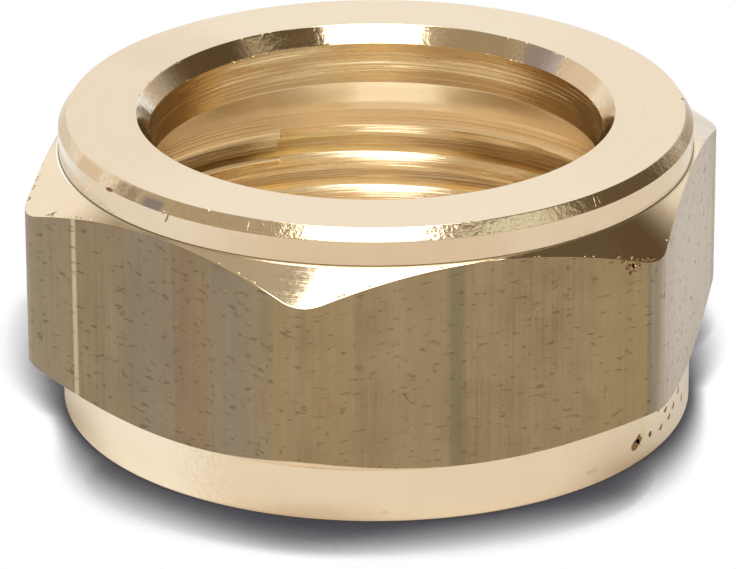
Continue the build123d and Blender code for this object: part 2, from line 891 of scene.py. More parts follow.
@dataclass
class Grains:
    """Many grains as one mesh, each a bent and uneven ball.

    bend bows each ball, and bend_shift keeps its middle in place. unevenness is how far its skin
    goes in and out in millimetres, lumps is how fine that is, and levels is how often the ball's
    faces are divided.
    """

    name: str
    grains: list[Grain]
    bend: float = 0.0
    unevenness: float = 0.25
    levels: int = 2
    bend_shift: float = 0.4
    lumps: float = 9000.0

    @property
    def inputs(self) -> dict[str, float]:
        """The numbers that the tree takes in, by name."""
        return {"Bend": self.bend, "Unevenness": self.unevenness, "Levels": self.levels}

    def mesh(self, material: bpy.types.Material) -> bpy.types.Mesh:
        """Sets a ball at every grain with Geometry Nodes.

        Args:
            material: the balls' material.

        Returns:
            The plain mesh.
        """
        seeds = bpy.data.meshes.new(self.name)
        seeds.from_pydata([grain.place() for grain in self.grains], [], [])
        for name, vectors in (("size", [grain.size() for grain in self.grains]),
                              ("turn", [grain.turn() for grain in self.grains])):
            store = seeds.attributes.new(name, "FLOAT_VECTOR", "POINT")
            store.data.foreach_set("vector", np.array(vectors, np.float32).ravel())
        holder = object_from(self.name, seeds)
        tree, identifiers = self._tree(material)
        modifier = holder.modifiers.new(self.name, "NODES")
        modifier.node_group = tree
        for name, value in self.inputs.items():
            modifier[identifiers[name]] = value
        made = applied(holder, modifier)
        bpy.data.objects.remove(holder)
        return made

    def _tree(self, material: bpy.types.Material) -> tuple[bpy.types.NodeTree, dict[str, str]]:
        """Builds the tree that makes the grains.

        Args:
            material: the grains' material.

        Returns:
            The tree, and its inputs' identifiers by name.
        """
        tree = geometry_tree(self.name)
        identifiers = {name: tree_input(tree, name, value) for name, value in self.inputs.items()}
        group = tree.nodes.new("NodeGroupInput")
        ball = tree.nodes.new("GeometryNodeMeshIcoSphere")
        feed(tree, ball.inputs["Subdivisions"], group.outputs["Levels"])
        bent = tree.nodes.new("GeometryNodeSetPosition")
        x, _, _ = separated(tree, tree.nodes.new("GeometryNodeInputPosition").outputs[0])
        tree.links.new(ball.outputs["Mesh"], bent.inputs["Geometry"])
        bow = (x * x - self.bend_shift) * Value(tree, group.outputs["Bend"])
        feed(tree, bent.inputs["Offset"], combined(tree, 0.0, bow, 0.0))
        spread = tree.nodes.new("GeometryNodeInstanceOnPoints")
        tree.links.new(group.outputs["Geometry"], spread.inputs["Points"])
        tree.links.new(bent.outputs[0], spread.inputs["Instance"])
        for name, socket in (("size", "Scale"), ("turn", "Rotation")):
            read = tree.nodes.new("GeometryNodeInputNamedAttribute")
            read.data_type = "FLOAT_VECTOR"
            read.inputs["Name"].default_value = name
            value = read.outputs["Attribute"]
            if socket == "Rotation":
                euler = tree.nodes.new("FunctionNodeEulerToRotation")
                tree.links.new(value, euler.inputs[0])
                value = euler.outputs[0]
            tree.links.new(value, spread.inputs[socket])
        realize = tree.nodes.new("GeometryNodeRealizeInstances")
        tree.links.new(spread.outputs[0], realize.inputs[0])
        uneven = tree.nodes.new("GeometryNodeSetPosition")
        tree.links.new(realize.outputs[0], uneven.inputs["Geometry"])
        place = tree.nodes.new("GeometryNodeInputPosition").outputs[0]
        normal = tree.nodes.new("GeometryNodeInputNormal").outputs[0]
        lumps = noise(tree, place, self.lumps, 1.0) - 0.5
        swell = lumps * Value(tree, group.outputs["Unevenness"]) * MM
        push = tree.nodes.new("ShaderNodeVectorMath")
        push.operation = "SCALE"
        tree.links.new(normal, push.inputs[0])
        feed(tree, push.inputs["Scale"], swell)
        feed(tree, uneven.inputs["Offset"], push.outputs[0])
        dress = tree.nodes.new("GeometryNodeSetMaterial")
        tree.links.new(uneven.outputs[0], dress.inputs["Geometry"])
        feed(tree, dress.inputs["Material"], material)
        tree.links.new(dress.outputs[0], tree.nodes.new("NodeGroupOutput").inputs[0])
        return tree, identifiers


@dataclass
class Wear:
    """What cutting and handling left: dashes on the flats, pits, nicks, beads and torn burr.

    Angles are polar and in degrees. A Span is the least and the most of what is drawn at random.
    The burr is torn near the right corner of torn_flat, from torn_from beside its middle onwards,
    and most of it lies at torn_angle. Growth is how much larger beads get towards the corners, and
    crumbs towards torn_angle. rim_left and rim_right are the stretches of the bore's rims that get
    nicks.
    """

    sizes: NutSizes
    seed: int = 11
    paler_flat: float = 330.0
    upright_flats: tuple[float, ...] = (150.0, 210.0)
    dashes_on_flat: int = 24
    dash_reach: float = 8.6
    dash_mode: float = 4.0
    dash_margin: float = 0.3
    dash_lengths: Span = (0.2, 0.42)
    dash_widths: Span = (0.12, 0.2)
    dash_depths: Span = (0.015, 0.028)
    dash_tilts: Span = (-25.0, 25.0)
    beads_on_flat: int = 24
    bead_places: tuple[float, float, float] = (0.2, 6.0, 8.4)
    bead_sizes: Span = (0.04, 0.08)
    bead_growth: float = 0.016
    bead_tilts: Span = (-25.0, 25.0)
    stretches: Span = (1.0, 2.4)
    torn_flat: float = 270.0
    torn_from: float = 6.3
    torn_angle: float = 295.9
    torn_spread: float = 1.2
    torn_rise: float = 20.0
    torn_depth: float = 0.08
    torn_grains: int = 34
    torn_start: float = 293.6
    torn_length: float = 6.0
    crumb_sizes: Span = (0.09, 0.16)
    crumb_growth: float = 0.16
    crumb_rises: Span = (0.0, 30.0)
    crumb_tilts: Span = (-80.0, 80.0)
    rim_nicks: int = 26
    rim_left: Span = (95.0, 168.0)
    rim_right: Span = (-5.0, 50.0)
    nick_lengths: Span = (0.12, 0.34)
    nick_widths: Span = (0.08, 0.18)
    nick_tilts: Span = (-30.0, 30.0)

    def _edge(self, angle: float) -> tuple[float, float]:
        """Gives the radius and the height of the upper scalloped edge at a polar angle."""
        _, high = self.sizes.scallops(math.radians(angle))
        return float(self.sizes.hexagon_radius(np.radians(angle))), high

    def dashes(self) -> list[Grain]:
        """Scatters short curved dashes over the six flats, and sets a few on the boss and collar.

        Returns:
            The cutters.
        """
        nut = self.sizes
        draw = np.random.default_rng(self.seed)
        made = []
        for facing in FLAT_FACINGS:
            on_paler_flat = facing == self.paler_flat
            lie = 90.0 if facing in self.upright_flats else 0.0
            for _ in range(self.dashes_on_flat // (3 if on_paler_flat else 1)):
                aside = draw.triangular(-self.dash_reach, self.dash_mode, self.dash_reach)
                angle = math.degrees(math.atan2(aside, nut.across_flats / 2)) + facing
                low, high = nut.scallops(math.radians(angle))
                height = draw.uniform(low + self.dash_margin, high - self.dash_margin)
                length, width = draw.uniform(*self.dash_lengths), draw.uniform(*self.dash_widths)
                depth = draw.uniform(*self.dash_depths)
                tilt = lie + draw.uniform(*self.dash_tilts) + 180.0 * draw.integers(2)
                out = math.hypot(aside, nut.across_flats / 2)
                made.append(Grain(angle, out, height, length, width, depth, facing, tilt=tilt))
        for angle, height, tilt in (
            (313.5, 2.25, 60.0), (314.5, 1.1, 30.0), (316.5, 1.85, 15.0), (317.8, 2.35, 70.0),
            (318.3, 1.25, 20.0), (320.5, 1.6, 50.0), (323.5, 2.1, 60.0), (326.0, 1.4, 65.0),
        ):
            made.append(Grain(angle, nut.boss_radius, height, 0.46, 0.24, 0.04, angle, tilt=tilt))
        made += [
            Grain(212.0, nut.collar_radius, nut.lip_height - 0.22, 0.62, 0.12, 0.04, 212.0, tilt=65.0),
            Grain(345.6, nut.rim_radius, nut.height, 0.5, 0.22, 0.06, 345.6, rise=60.0, tilt=70.0),
        ]
        return made

    def pits(self) -> list[Grain]:
        """Lists the stained pits in the boss, the notch in the collar's lip and the torn edge's cavities.

        Returns:
            The cutters.
        """
        nut = self.sizes
        boss = nut.boss_radius
        made = [
            Grain(305.2, boss, 1.14, 0.74, 0.54, 0.05, 305.2, tilt=15.0),
            Grain(306.4, boss, 1.36, 0.52, 0.50, 0.035, 306.4, tilt=-35.0),
            Grain(310.2, boss, 1.20, 0.34, 0.32, 0.08, 310.2),
            Grain(196.6, nut.collar_radius, nut.lip_height, 0.62, 0.24, 0.06, 196.6, rise=20.0, tilt=6.0),
        ]
        for angle, drop, length, width in (
            (294.4, 0.04, 0.4, 0.2), (295.2, 0.3, 0.5, 0.4),
            (295.6, 0.56, 0.4, 0.32), (296.2, 0.2, 0.44, 0.36),
        ):
            out, high = self._edge(angle)
            made.append(Grain(angle, out, high - drop, length, width, self.torn_depth, self.torn_flat,
                              rise=self.torn_rise, tilt=length * 40.0))
        return made

    def nicks(self) -> list[Grain]:
        """Lists the bright nicks and dents, and scatters more round the rims of the bore.

        Returns:
            The cutters.
        """
        nut = self.sizes
        bevel_middle = (nut.rim_radius + nut.collar_radius) / 2
        bevel_height = nut.height - nut.collar_edge_height / 2
        made = [
            Grain(307.5, nut.boss_radius, 1.58, 0.34, 0.56, 0.04, 307.5, tilt=-25.0),
            Grain(211.3, nut.collar_radius, nut.lip_height + 0.02, 0.22, 0.34, 0.05, 211.3, rise=20.0,
                  tilt=-20.0),
            Grain(220.4, nut.rim_radius, nut.height, 0.20, 0.20, 0.05, 220.4, rise=50.0),
        ]
        for angle, length, width, depth, tilt in (
            (228.5, 0.06, 0.55, 0.03, 0.0), (293.8, 0.05, 0.60, 0.03, -8.0), (294.8, 0.04, 0.45, 0.02, 6.0),
        ):
            made.append(Grain(angle, bevel_middle, bevel_height, length, width, depth, angle, rise=35.0,
                              tilt=tilt))
        rims = ((nut.tube_bore_radius, nut.tube_bore_top), (nut.sink_radius, nut.height))
        draw = np.random.default_rng(self.seed + 3)
        for k in range(self.rim_nicks):
            angle = draw.uniform(*self.rim_left) if k % 3 else draw.uniform(*self.rim_right)
            out, height = rims[k % 2]
            length, width = draw.uniform(*self.nick_lengths), draw.uniform(*self.nick_widths)
            made.append(Grain(angle, out, height, length, width, 0.05, angle + 180.0, rise=50.0,
                              tilt=draw.uniform(*self.nick_tilts)))
        return made

    def beads(self) -> list[Grain]:
        """Strings small beads of burr along the upper scalloped edges, most of them by the corners.

        Returns:
            The beads, with two larger lumps on the torn edge.
        """
        draw = np.random.default_rng(self.seed + 1)
        made = []
        for facing in FLAT_FACINGS:
            for _ in range(self.beads_on_flat // (8 if facing == self.paler_flat else 1)):
                aside = draw.triangular(*self.bead_places) * draw.choice((-1.0, 1.0))
                angle = math.degrees(math.atan2(aside, self.sizes.across_flats / 2)) + facing
                out, high = self._edge(angle)
                size = draw.uniform(*self.bead_sizes) + self.bead_growth * max(abs(aside) - 3.0, 0.0)
                stretch, tilt = draw.uniform(*self.stretches), draw.uniform(*self.bead_tilts)
                if facing == self.torn_flat and aside > self.torn_from:
                    continue
                made.append(Grain(angle, out - 0.85 * size - 0.03, high + 0.42 * size, size * stretch, size,
                                  size / 2, facing, rise=30.0, tilt=tilt))
        for angle, drop, length, width in ((295.6, 0.06, 0.44, 0.2), (296.2, 0.2, 0.34, 0.18)):
            out, high = self._edge(angle)
            made.append(Grain(angle, out - 0.16, high - drop, length, width, 0.12, self.torn_flat,
                              rise=self.torn_rise, tilt=-30.0))
        return made

    def swarf(self) -> list[Grain]:
        """Lists the crumbs of torn burr near the right corner of the front flat.

        Returns:
            Its grains.
        """
        draw = np.random.default_rng(self.seed + 2)
        made = []
        for k in range(self.torn_grains):
            angle = self.torn_start + self.torn_length * k / (self.torn_grains - 1)
            out, high = self._edge(angle)
            near = math.exp(-((angle - self.torn_angle) / self.torn_spread) ** 2)
            size = draw.uniform(*self.crumb_sizes) + self.crumb_growth * near
            drop = 0.62 * near * draw.uniform(0.0, 1.0)
            height = high - drop + draw.uniform(-0.02, 0.08)
            length = size * draw.uniform(*self.stretches)
            rise, tilt = draw.uniform(*self.crumb_rises), draw.uniform(*self.crumb_tilts)
            made.append(Grain(angle, out - 0.62 * size - 0.04, height, length, size, size / 2,
                              self.torn_flat, rise=rise, tilt=tilt))
        return made


@dataclass
class NutBody:
    """The nut's whole surface: turned outside, drawn flats, stepped bore and thread.

    A groove, foot_depth deep, runs round the collar's foot, coloured with the dark finish of the dashes
    as painted shade in the corner. It reaches foot_groove up the collar and out on the cone, and a
    bright ring follows it out to foot_ring. The bands inside end face_width in from the collar, and
    sink_margin and mouth_margin out from the bore.
    """

    sizes: NutSizes
    thread: Thread
    marks: BoreMarks
    wear: Wear
    corner_steps: int = 7
    flat_columns: int = 42
    edge_rounding: float = 0.05
    root_rounding: float = 0.05
    boss_rim_rounding: float = 0.25
    foot_groove: float = 0.05
    foot_depth: float = 0.03
    foot_step: float = 0.02
    foot_ring: float = 0.13
    seat_step: float = 0.03
    face_width: float = 2.2
    sink_margin: float = 0.4
    mouth_margin: float = 0.35
    sharp_angle: float = 32.0

    def outside_angles(self) -> np.ndarray:
        """Lays columns round the hexagon, closer together on its rounded corners.

        Returns:
            The polar angles.
        """
        rounding = self.sizes.bar_corner_radius
        sector = math.pi / 3
        centre = (self.sizes.across_flats / 2 - rounding) / math.cos(sector / 2)
        turns = np.linspace(0, sector / 2, self.corner_steps + 1)
        arc = np.arctan2(rounding * np.sin(turns), centre + rounding * np.cos(turns))
        flat = np.linspace(arc[-1], sector - arc[-1], self.flat_columns + 1)[1:-1]
        one = np.concatenate([arc, flat, sector - arc[::-1][:-1]])
        return np.concatenate([one + k * sector for k in range(6)])

    def outside(self, angles: np.ndarray) -> Patch:
        """Makes the top face, the collar, the hexagon with its cones, and the boss.

        Args:
            angles: the columns' polar angles.

        Returns:
            The surface, from the top face to the boss's face.
        """
        nut = self.sizes
        hexagon = nut.hexagon_radius(angles)
        lower, upper = nut.scallops(angles)
        edge, root = self.edge_rounding, self.root_rounding
        groove, ring, slope = self.foot_groove, self.foot_ring, nut.chamfer_slope
        foot = nut.height - nut.collar_height
        return Lathe(angles).turned([
            Corner(nut.collar_radius - self.face_width, nut.height, Zone.FACE, rows=1),
            Corner(nut.rim_radius, nut.height, Zone.EDGE, edge, rows=2),
            Corner(nut.collar_radius, nut.lip_height, Zone.COLLAR, edge, rows=1),
            # Painted shade: the foot groove takes the dark finish of the dashes, standing in for the shade
            # in the corner
            Corner(nut.collar_radius, foot + groove, Zone.DASH),
            Corner(nut.collar_radius - self.foot_depth, foot + self.foot_step, Zone.DASH),
            Corner(nut.collar_radius + groove, foot - groove * slope, Zone.COLLAR, rows=1),
            Corner(nut.collar_radius + ring, foot - ring * slope, Zone.CONE, rows=3),
            Corner(hexagon, upper, Zone.FLAT, edge, rows=5),
            Corner(hexagon, lower, Zone.CONE, edge, rows=0),
            Corner(nut.boss_radius, nut.boss_height, Zone.BOSS, root, rows=3),
            Corner(nut.boss_radius, 0.0, Zone.FACE, self.boss_rim_rounding, rows=0, steps=6),
            Corner(nut.mouth_radius + self.mouth_margin, 0.0, Zone.FACE),
        ])

    def inside(self, angles: np.ndarray) -> list[Patch]:
        """Makes the plain turned bands of the bore.

        Args:
            angles: the columns' polar angles.

        Returns:
            The countersink's band, the seat's band with the wall under it, and the mouth's rim.
        """
        nut = self.sizes
        edge, step = self.edge_rounding, self.seat_step
        lathe = Lathe(angles)
        sink = lathe.turned([
            Corner(nut.sink_radius + self.sink_margin, nut.height, Zone.FACE),
            Corner(nut.sink_radius, nut.height, Zone.SINK, edge, rows=3),
            Corner(nut.tube_bore_radius, nut.tube_bore_top, Zone.BORE, edge),
            Corner(nut.tube_bore_radius, self.marks.top, Zone.BORE),
        ])
        seat = lathe.turned([
            Corner(nut.tube_bore_radius, self.marks.base, Zone.BORE),
            Corner(nut.tube_bore_radius, nut.tube_bore_base, Zone.SEAT, edge, rows=6),
            Corner(nut.wall_radius - step, nut.seat_base + step, Zone.THREAD, rows=1),
            Corner(nut.wall_radius, self.thread.top, Zone.THREAD),
        ])
        rim = np.zeros((1, len(angles), 2))
        rim[0, :, 0] = nut.mouth_radius
        return [sink, seat, lathe.rings(rim, [])]

    def shell(self, columns: int, start: float) -> bpy.types.Mesh:
        """Joins the turned bands, with the two flat faces between outside and inside.

        Args:
            columns: how many columns each band has.
            start: polar angle of the bore's first column.

        Returns:
            The mesh, open where the thread and the bore's wall go.
        """
        outside_angles = self.outside_angles()
        outside = self.outside(outside_angles)
        bands = [outside, *self.inside(start + np.arange(columns) * math.tau / columns)]
        points, faces, zones, bases = [], [], [], []
        known = 0
        for patch in bands:
            bases.append(known)
            points.append(patch.points * MM)
            faces += [tuple(i + known for i in face) for face in patch.faces]
            zones += patch.zones
            known += len(patch.points)
        shift = round((outside_angles[0] - start) % math.tau / math.tau * columns)
        lowest = len(outside.points) - columns
        for i in range(columns):
            j = (i + 1) % columns
            a, b = (i + shift) % columns, (j + shift) % columns
            faces.append((i, j, bases[1] + b, bases[1] + a))
            faces.append((lowest + i, bases[3] + a, bases[3] + b, lowest + j))
            zones += [int(Zone.FACE), int(Zone.FACE)]
        mesh = bpy.data.meshes.new("nut_body")
        mesh.from_pydata(np.concatenate(points).tolist(), [], faces)
        mesh.polygons.foreach_set("material_index", np.array(zones, np.int32))
        return mesh

    def closed(self, materials: list[bpy.types.Material]) -> bpy.types.Mesh:
        """Welds the shell, the thread and the bore's wall.

        Args:
            materials: a material for each zone.

        Returns:
            The closed mesh.
        """
        columns = len(self.outside_angles())
        start = math.radians(self.thread.start_angle)
        mesh = self.shell(columns, start)
        for material in materials:
            mesh.materials.append(material)
        work = bmesh.new()
        work.from_mesh(mesh)
        for zone, band in (
            (Zone.THREAD, self.thread.band(columns, materials[Zone.THREAD])),
            (Zone.BORE, self.marks.band(columns, start, materials[Zone.BORE])),
        ):
            known = len(work.faces)
            work.from_mesh(band)
            work.faces.ensure_lookup_table()
            for face in work.faces[known:]:
                face.material_index = int(zone)
            bpy.data.meshes.remove(band)
        bmesh.ops.remove_doubles(work, verts=work.verts, dist=WELD_DISTANCE)
        bmesh.ops.dissolve_degenerate(work, edges=work.edges, dist=WELD_DISTANCE)
        bmesh.ops.recalc_face_normals(work, faces=work.faces)
        log.info("nut_body: %d faces, %d open edges", len(work.faces),
                 sum(1 for edge in work.edges if not edge.is_manifold))
        work.to_mesh(mesh)
        work.free()
        return mesh

    def piece(self, materials: list[bpy.types.Material]) -> bpy.types.Object:
        """Makes the nut, cuts its dashes and nicks, and adds its beads and swarf.

        Args:
            materials: a material for each zone.

        Returns:
            The nut.
        """
        wear = self.wear
        nut = object_from("nut_body", self.closed(materials))
        work = (
            (Grains("dashes", wear.dashes(), bend=0.7, unevenness=0.03, levels=2), Zone.DASH, "DIFFERENCE"),
            (Grains("pits", wear.pits(), unevenness=0.06, levels=3), Zone.PIT, "DIFFERENCE"),
            (Grains("nicks", wear.nicks(), unevenness=0.04, levels=3), Zone.NICK, "DIFFERENCE"),
            (Grains("beads", wear.beads(), unevenness=0.1, levels=2), Zone.NICK, "UNION"),
            (Grains("swarf", wear.swarf(), unevenness=0.08, levels=2), Zone.PIT, "UNION"),
        )
        for grains, zone, operation in work:
            tool = object_from(grains.name, grains.mesh(materials[zone]))
            join = nut.modifiers.new(grains.name, "BOOLEAN")
            join.operation = operation
            join.solver = "MANIFOLD"
            join.object = tool
            nut.data = applied(nut, join)
            bpy.data.objects.remove(tool)
        self._smooth(nut)
        return nut

    def _smooth(self, nut: bpy.types.Object) -> None:
        """Shades the nut smooth between its sharp edges, and leans the shading to its larger faces.

        Args:
            nut: the nut.
        """
        mesh = nut.data
        mesh.polygons.foreach_set("use_smooth", np.ones(len(mesh.polygons), bool))
        mesh.set_sharp_from_angle(angle=math.radians(self.sharp_angle))
        self._part_cuts(mesh)
        weigh = nut.modifiers.new("weigh", "WEIGHTED_NORMAL")
        weigh.keep_sharp = True
        nut.data = applied(nut, weigh)

    def _part_cuts(self, mesh: bpy.types.Mesh) -> None:
        """Keeps the smooth shading of cuts and beads apart from that of the surface round them.

        Args:
            mesh: the nut's mesh.
        """
        zones = np.zeros(len(mesh.polygons), np.int32)
        sides = np.zeros(len(mesh.polygons), np.int32)
        edges = np.zeros(len(mesh.loops), np.int32)
        sharp = np.zeros(len(mesh.edges), bool)
        mesh.polygons.foreach_get("material_index", zones)
        mesh.polygons.foreach_get("loop_total", sides)
        mesh.loops.foreach_get("edge_index", edges)
        mesh.edges.foreach_get("use_edge_sharp", sharp)
        on_cut = np.repeat(zones >= Zone.PIT, sides).astype(int)
        cut_sides = np.bincount(edges, on_cut, len(mesh.edges))
        mesh.edges.foreach_set("use_edge_sharp", sharp | (cut_sides == 1))


def new_material(name: str) -> tuple[bpy.types.Material, bpy.types.NodeTree, bpy.types.Node]:
    """Starts a material.

    Args:
        name: the material's name.

    Returns:
        The material, its tree and its shader.
    """
    made = bpy.data.materials.new(name)
    made.use_nodes = True
    return made, made.node_tree, made.node_tree.nodes["Principled BSDF"]


def place_on_nut(tree: bpy.types.NodeTree) -> list[Value]:
    """Reads the place on the nut that is shaded.

    Args:
        tree: the material's tree.

    Returns:
        Its three numbers, in millimetres.
    """
    place = tree.nodes.new("ShaderNodeTexCoord").outputs["Object"]
    return [value / MM for value in separated(tree, place)]


def raise_marks(tree: bpy.types.NodeTree, shader: bpy.types.Node, height: Value) -> None:
    """Makes the light fall as if the surface rose and fell.

    Args:
        tree: the material's tree.
        shader: the material's shader.
        height: how far the surface rises, in millimetres.
    """
    bump = tree.nodes.new("ShaderNodeBump")
    feed(tree, bump.inputs["Height"], height)
    feed(tree, bump.inputs["Distance"], MM)
    tree.links.new(bump.outputs[0], shader.inputs["Normal"])


@dataclass(frozen=True)
class StainOrPaintedLight:
    """A patch of colour at a polar angle, between two heights. Some are tarnished or worn patches, and some
    are painted highlights and painted shade.

    raggedness is how much a noise breaks its edge up, core is the share of its spread that is
    coloured in full, and blur is how softly it ends up and down.
    """

    angle: float
    spread: float
    low: float
    high: float
    colour: Colour
    strength: float = 0.8
    raggedness: float = 1.0
    core: float = 0.5
    blur: float = 0.1

    def mask(self, tree: bpy.types.NodeTree, around: Value, height: Value, ragged: Value) -> Value:
        """Gives how much of the patch there is.

        Args:
            tree: the material's tree; not used.
            around: polar angle in degrees.
            height: height in millimetres.
            ragged: a noise that roughens the patch's edge.

        Returns:
            The share.
        """
        aside = (around - self.angle).math("WRAP", 180.0, -180.0).math("ABSOLUTE")
        uneven = (ragged - 0.5) * self.spread * self.raggedness
        near = (aside + uneven).ramp(self.spread, self.spread * self.core)
        over = height.ramp(self.low - self.blur, self.low + self.blur)
        under = height.ramp(self.high + self.blur, self.high - self.blur)
        return near * over * under * self.strength


@dataclass(frozen=True)
class Finish:
    """A cut or drawn brass surface.

    colour is the clean metal and deep the darker metal between its marks. Rings are the fine
    grooves that the tool left round the axis, ring_height deep. Dents are shallow and wide. grain
    is how far the grooves spread a reflection across themselves. A share is how much rings,
    dents or specks mix the two metals, and a dulling how much they change the roughness. Patches
    of tarnish, painted highlight and painted shade are laid over the colour.
    """

    name: str
    colour: Colour
    deep: Colour
    roughness: float = 0.16
    grain: float = 0.5
    ring_fineness: float = 9.0
    ring_height: float = 0.002
    dent_fineness: float = 0.5
    dent_height: float = 0.003
    mottle: float = 0.5
    stains_and_painted_light: tuple[StainOrPaintedLight, ...] = ()
    grain_turn: float = 0.25
    rings_round: float = 0.8
    speck_fineness: float = 6.0
    ring_share: float = 0.8
    dent_share: float = 1.2
    speck_share: float = 0.4
    deep_share: float = 0.25
    ring_dulling: float = 0.12
    speck_dulling: float = 0.1

    def material(self) -> bpy.types.Material:
        """Builds the finish.

        Returns:
            The material.
        """
        made, tree, shader = new_material(self.name)
        shader.inputs["Metallic"].default_value = 1.0
        shader.inputs["Anisotropic"].default_value = self.grain
        shader.inputs["Anisotropic Rotation"].default_value = self.grain_turn
        tangent = tree.nodes.new("ShaderNodeTangent")
        tangent.direction_type = "RADIAL"
        tangent.axis = "Z"
        tree.links.new(tangent.outputs[0], shader.inputs["Tangent"])
        x, y, z = place_on_nut(tree)
        radius = (x * x + y * y).math("SQRT")
        angle = y.math("ARCTAN2", x)
        fineness = self.ring_fineness
        turned = combined(tree, radius * fineness, z * fineness, angle * self.rings_round)
        rings = noise(tree, turned, 1.0, 3.0, 0.65)
        plain = combined(tree, x, y, z)
        dents = noise(tree, plain, self.dent_fineness, 3.0, 0.55)
        specks = noise(tree, plain, self.speck_fineness, 3.0, 0.6)
        marks = ((rings - 0.5) * self.ring_share + (dents - 0.5) * self.dent_share
                 + (specks - 0.5) * self.speck_share)
        share = marks * self.mottle + self.deep_share
        base = blended(tree, share.clamped(), self.colour, self.deep)
        # Patches of tarnish, painted highlight and painted shade, laid over the metal's colour
        for coloured_patch in self.stains_and_painted_light:
            base = blended(tree, coloured_patch.mask(tree, angle.math("DEGREES"), z, specks), base, coloured_patch.colour)
        feed(tree, shader.inputs["Base Color"], base)
        dulling = (rings - 0.5) * self.ring_dulling + (specks - 0.5) * self.speck_dulling
        feed(tree, shader.inputs["Roughness"], (dulling + self.roughness).clamped())
        raise_marks(tree, shader, rings * self.ring_height + dents * self.dent_height)
        return made


@dataclass(frozen=True)
class Band:
    """A streak of colour down one flat: its flat, its place and width across it, and its colour."""

    facing: float
    aside: float
    width: float
    colour: Colour
    strength: float = 0.5


@dataclass(frozen=True)
class DrawnFlat:
    """The bar's own skin on the six flats: dull, streaked along the nut's axis, stained and pitted.

    Streaks are wide and lines fine, and both run along the axis. A share is how much each noise
    mixes pale and dark, a dulling how much it changes the roughness, and a height how far it
    rises. A fineness is first across the axis and then along it. Clouds past red_clouds turn red
    where streaks are past red_streaks. A band lies farther out than on_flat, and its edges fade
    between the shares of its width in band_edge.
    """

    name: str = "Drawn flats"
    pale: Colour = (0.415, 0.322, 0.184)
    dark: Colour = (0.234, 0.172, 0.093)
    red: Colour = (0.27, 0.175, 0.1)
    pit: Colour = (0.17, 0.125, 0.05)
    roughness: float = 0.38
    bands: tuple[Band, ...] = ()
    streak_fineness: Span = (1.1, 0.06)
    line_fineness: Span = (6.0, 0.12)
    cloud_fineness: float = 0.35
    grain_fineness: float = 9.0
    pit_fineness: Span = (1.5, 4.2)
    streak_share: float = 1.0
    line_share: float = 0.9
    cloud_share: float = 0.9
    grain_share: float = 0.6
    red_clouds: Span = (0.52, 0.75)
    red_streaks: Span = (0.4, 0.6)
    red_strength: float = 0.6
    pit_strength: float = 0.4
    streak_dulling: float = 0.1
    grain_dulling: float = 0.25
    pit_dulling: float = 0.2
    streak_height: float = 0.004
    line_height: float = 0.0015
    grain_height: float = 0.005
    pit_depth: float = 0.02
    pit_ends: Span = (0.60, 0.72)
    on_flat: Span = (15.3, 15.6)
    band_edge: Span = (0.75, 0.2)
    band_waver: float = 0.5

    def material(self) -> bpy.types.Material:
        """Builds the finish.

        Returns:
            The material.
        """
        made, tree, shader = new_material(self.name)
        shader.inputs["Metallic"].default_value = 1.0
        x, y, z = place_on_nut(tree)
        plain = combined(tree, x, y, z)
        streaks = noise(tree, self._stretched(tree, x, y, z, self.streak_fineness), 1.0, 3.0, 0.6)
        lines = noise(tree, self._stretched(tree, x, y, z, self.line_fineness), 1.0, 3.0, 0.7)
        cloud = noise(tree, plain, self.cloud_fineness, 3.0, 0.5, 0.4)
        grain = noise(tree, plain, self.grain_fineness, 4.0, 0.7)
        share = ((streaks - 0.5) * self.streak_share + (lines - 0.5) * self.line_share
                 + (cloud - 0.5) * self.cloud_share + (grain - 0.5) * self.grain_share + 0.5)
        base = blended(tree, share.clamped(), self.dark, self.pale)
        stained = cloud.ramp(*self.red_clouds) * streaks.ramp(*self.red_streaks) * self.red_strength
        base = blended(tree, stained, base, self.red)
        for band in self.bands:
            base = blended(tree, self._band(x, y, streaks, band), base, band.colour)
        smudges = self._stretched(tree, x, y, z, self.pit_fineness)
        pits = noise(tree, smudges, 1.0, 2.0, 0.5, 0.3).ramp(*self.pit_ends)
        base = blended(tree, pits * self.pit_strength, base, self.pit)
        feed(tree, shader.inputs["Base Color"], base)
        dulling = ((grain - 0.5) * self.grain_dulling + (streaks - 0.5) * self.streak_dulling
                   + pits * self.pit_dulling)
        feed(tree, shader.inputs["Roughness"], (dulling + self.roughness).clamped())
        raise_marks(tree, shader, lines * self.line_height + streaks * self.streak_height
                    + grain * self.grain_height - pits * self.pit_depth)
        return made

    def _stretched(self, tree: bpy.types.NodeTree, x: Value, y: Value, z: Value,
                   fineness: Span) -> bpy.types.NodeSocket:
        """Gives the place that a noise is read at, so that it is longer one way than the other.

        Args:
            tree: the material's tree.
            x: place along X in millimetres.
            y: place along Y in millimetres.
            z: height in millimetres.
            fineness: how fine the noise is across the axis and along it.

        Returns:
            The place's socket.
        """
        across, along = fineness
        return combined(tree, x * across, y * across, z * along)

    def _band(self, x: Value, y: Value, streaks: Value, band: Band) -> Value:
        """Gives how much of a band there is.

        Args:
            x: place along X in millimetres.
            y: place along Y in millimetres.
            streaks: the noise that breaks the band's edges.
            band: the band.

        Returns:
            The share.
        """
        facing = math.radians(band.facing)
        out = x * math.cos(facing) + y * math.sin(facing)
        across = y * math.cos(facing) - x * math.sin(facing)
        off = (across - band.aside).math("ABSOLUTE") + (streaks - 0.5) * band.width * self.band_waver
        outer, inner = self.band_edge
        return out.ramp(*self.on_flat) * off.ramp(band.width * outer, band.width * inner) * band.strength


@dataclass(frozen=True)
class Lamp:
    """A soft flat lamp: its name, its sides as shares of its height, and how bright it looks.

    The sides are measured from the nut's axis, to the camera's right and away from it.
    """

    name: str
    left: float
    right: float
    near: float
    far: float
    radiance: float


